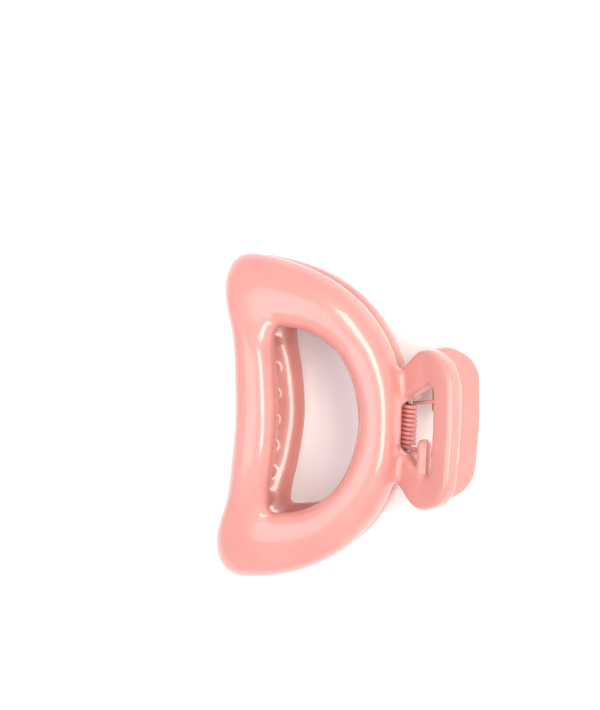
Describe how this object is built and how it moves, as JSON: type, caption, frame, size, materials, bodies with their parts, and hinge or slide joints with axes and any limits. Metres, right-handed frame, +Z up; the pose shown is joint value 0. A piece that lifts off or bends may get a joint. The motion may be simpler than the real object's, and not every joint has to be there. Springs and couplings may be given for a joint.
{
  "type": "hair claw clip",
  "caption": "Sprung claw clip for hair: rounded D-shaped open jaws with horned corners and interleaving teeth, looped finger grips, hinged on a pin with a coil spring.",
  "frame": {"origin": "middle of the ground under the closed clip, which lies on its rear jaw", "axes": "+Y along the hinge axis and the clip's length, +Z up from the rear jaw to the front jaw, +X from the tips to the grips"},
  "size_m": [0.0566, 0.0738, 0.0287],
  "materials": {
    "jaw_plastic": "gloss, coral pink",
    "pin_steel": "plain drawn steel",
    "spring_wire": "pink lacquer over spring steel"
  },
  "bodies": {
    "rear": {"rear_jaw": "jaw_plastic", "hinge_pin": "pin_steel", "torsion_spring": "spring_wire"},
    "front": {"front_jaw": "jaw_plastic"}
  },
  "joints": [
    {"name": "jaw_hinge", "type": "hinge", "parent": "rear", "child": "front", "pos_m": [0.01451, 0, 0.01436], "axis": [0, 1, 0], "range_deg": [0, 76], "stiffness_Nm_per_rad": 0.068, "springref_deg": -50.42, "deforming": ["torsion_spring"]}
  ]
}
